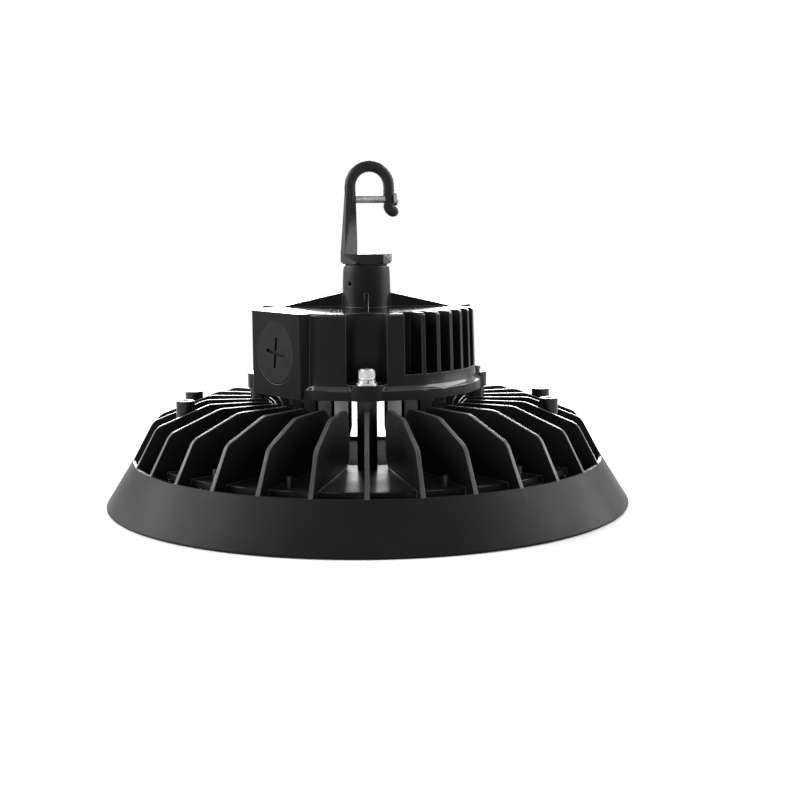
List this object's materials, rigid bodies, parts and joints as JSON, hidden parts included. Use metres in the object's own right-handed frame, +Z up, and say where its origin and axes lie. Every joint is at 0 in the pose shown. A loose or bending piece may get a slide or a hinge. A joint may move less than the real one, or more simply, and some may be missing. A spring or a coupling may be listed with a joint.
{
  "type": "high bay light",
  "caption": "Round black high bay light: finned cast heat sink in a conical rim, LED board and lens below, ribbed driver housing above, and a suspension hook on top.",
  "frame": {"origin": "centre of the lower edge of the rim", "axes": "+Z up along the light's axis towards the hook, -Y towards the front bolt, which faces the picture's camera, and the port panel on the front left (-X, -Y)"},
  "size_m": [0.319, 0.319, 0.2066],
  "materials": {
    "black_casting": "die-cast aluminium with a satin black powder coat",
    "plain_aluminium": "plain sheet aluminium, satin",
    "black_steel": "cast steel with a satin black coat",
    "zinc_steel": "bright zinc-plated steel",
    "black_plastic": "moulded black polyamide, matte",
    "white_plastic": "moulded white terminal plastic",
    "board_white": "white solder mask on the board",
    "led_yellow": "yellow phosphor over the LED packages",
    "clear_lens": "clear moulded polycarbonate",
    "black_rubber": "black silicone rubber",
    "grey_rubber": "grey silicone rubber",
    "driver_case": "folded aluminium case of the potted driver"
  },
  "bodies": {
    "root": {"heat_sink": "black_casting", "led_board": "board_white", "led_chips": "led_yellow", "board_connector": "white_plastic", "board_screws": "zinc_steel", "lens": "clear_lens", "lens_seal": "grey_rubber", "lens_screws": "zinc_steel", "driver_housing": "black_casting", "port_plug": "black_plastic", "plug_seal": "black_rubber", "driver_base": "plain_aluminium", "base_seal": "grey_rubber", "base_screws": "zinc_steel", "led_driver": "driver_case", "driver_screws": "zinc_steel", "lead_sleeve": "white_plastic", "sleeve_grommet": "black_rubber", "housing_bolts": "zinc_steel", "spring_washers": "zinc_steel", "flat_washers": "zinc_steel", "neck_seal": "black_rubber", "hook": "black_steel", "safety_screw": "zinc_steel", "set_screw": "black_steel", "side_screws": "black_steel", "gland_body": "black_plastic", "gland_nut": "black_plastic", "gland_insert": "black_rubber", "gland_seal": "black_rubber"}
  },
  "joints": []
}
